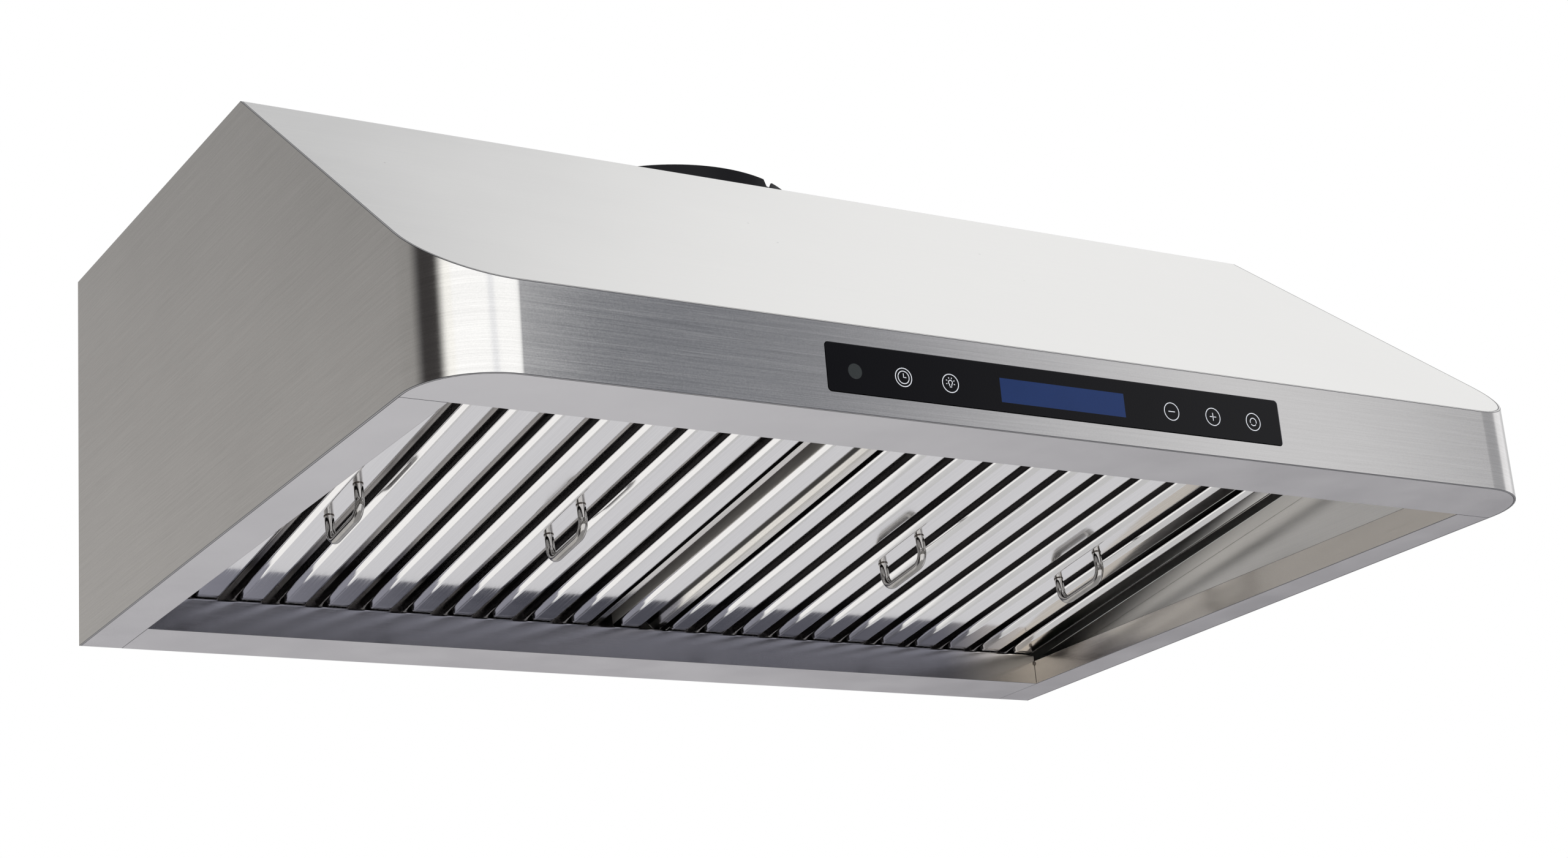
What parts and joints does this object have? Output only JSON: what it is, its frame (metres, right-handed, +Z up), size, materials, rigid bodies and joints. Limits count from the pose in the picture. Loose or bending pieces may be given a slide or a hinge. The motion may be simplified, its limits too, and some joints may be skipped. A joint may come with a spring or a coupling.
{
  "type": "under cabinet range hood",
  "caption": "Stainless canopy with a sloped front, touch control band, swing-down baffle filters, a double inlet blower and a round duct collar with backdraft damper flaps.",
  "frame": {"origin": "top outer face, centre of the four cabinet screw holes", "axes": "+X to the right seen from the front, -Y to the front, +Z up"},
  "size_m": [0.762, 0.5591, 0.304],
  "materials": {
    "shell_steel": "satin, fine vertical grain",
    "slope_steel": "satin, grain along X",
    "rim_steel": "satin",
    "inner_steel": "satin",
    "filter_steel": "mirror polished stainless",
    "handle_steel": "polished wire",
    "collar_black": "semi-gloss black",
    "damper_metal": "plain sheet",
    "galvanised": "galvanised sheet",
    "control_glass": "black gloss",
    "display_blue": "backlit blue pane",
    "sensor_dark": "smoked window",
    "tray_plastic": "fine matte",
    "board_green": "solder mask",
    "lamp_trim": "satin chrome",
    "lens_frosted": "frosted",
    "lamp_alloy": "cast, ribbed",
    "motor_paint": "satin dark grey",
    "impeller_metal": "galvanised strip",
    "shaft_steel": "ground",
    "bracket_steel": "zinc plated",
    "screw_steel": "zinc plated",
    "spring_steel": "bright",
    "capacitor_can": "white",
    "box_plastic": "light grey"
  },
  "bodies": {
    "root": {"outer_wrap": "shell_steel", "slope_panel": "slope_steel", "top_panel": "shell_steel", "back_panel": "shell_steel", "rim_front": "rim_steel", "rim_back": "rim_steel", "rim_right": "rim_steel", "rim_left": "rim_steel", "side_ledge_right": "inner_steel", "side_ledge_left": "inner_steel", "centre_strip": "filter_steel", "lamp_panel": "inner_steel", "lamp_bodies": "lamp_alloy", "lamp_bezels": "lamp_trim", "lamp_lenses": "lens_frosted", "filter_catches": "spring_steel", "touch_glass": "control_glass", "display_window": "display_blue", "sensor_window": "sensor_dark", "control_board": "board_green", "control_tray": "tray_plastic", "duct_collar": "collar_black", "collar_flange": "collar_black", "collar_screws": "screw_steel", "damper_pins": "shaft_steel", "outlet_plenum": "galvanised", "blower_scroll": "galvanised", "motor": "motor_paint", "motor_bracket": "bracket_steel", "capacitor": "capacitor_can", "junction_box": "galvanised", "wiring_plate": "galvanised", "power_box": "box_plastic", "lamp_driver": "box_plastic"},
    "filter_left": {"filter_left_frame": "filter_steel", "filter_left_front_baffles": "filter_steel", "filter_left_rear_baffles": "filter_steel", "filter_left_handles": "handle_steel"},
    "filter_right": {"filter_right_frame": "filter_steel", "filter_right_front_baffles": "filter_steel", "filter_right_rear_baffles": "filter_steel", "filter_right_handles": "handle_steel"},
    "impeller": {"impeller": "impeller_metal", "motor_shaft": "shaft_steel"},
    "damper_left": {"damper_flap_left": "damper_metal"},
    "damper_right": {"damper_flap_right": "damper_metal"}
  },
  "joints": [
    {"name": "filter_left_swing", "type": "hinge", "parent": "root", "child": "filter_left", "pos_m": [-0.1863, 0.1032, -0.2326], "axis": [1, 0, 0], "range_deg": [0, 80]},
    {"name": "filter_right_swing", "type": "hinge", "parent": "root", "child": "filter_right", "pos_m": [0.1863, 0.1032, -0.2326], "axis": [1, 0, 0], "range_deg": [0, 80]},
    {"name": "impeller_spin", "type": "hinge", "parent": "root", "child": "impeller", "pos_m": [0, -0.006, -0.108], "axis": [1, 0, 0], "continuous": true},
    {"name": "damper_left_flap", "type": "hinge", "parent": "root", "child": "damper_left", "pos_m": [-0.006, 0.0284, 0.014], "axis": [0, 1, 0], "range_deg": [0, 75]},
    {"name": "damper_right_flap", "type": "hinge", "parent": "root", "child": "damper_right", "pos_m": [0.006, 0.0284, 0.014], "axis": [0, -1, 0], "range_deg": [0, 75]}
  ]
}
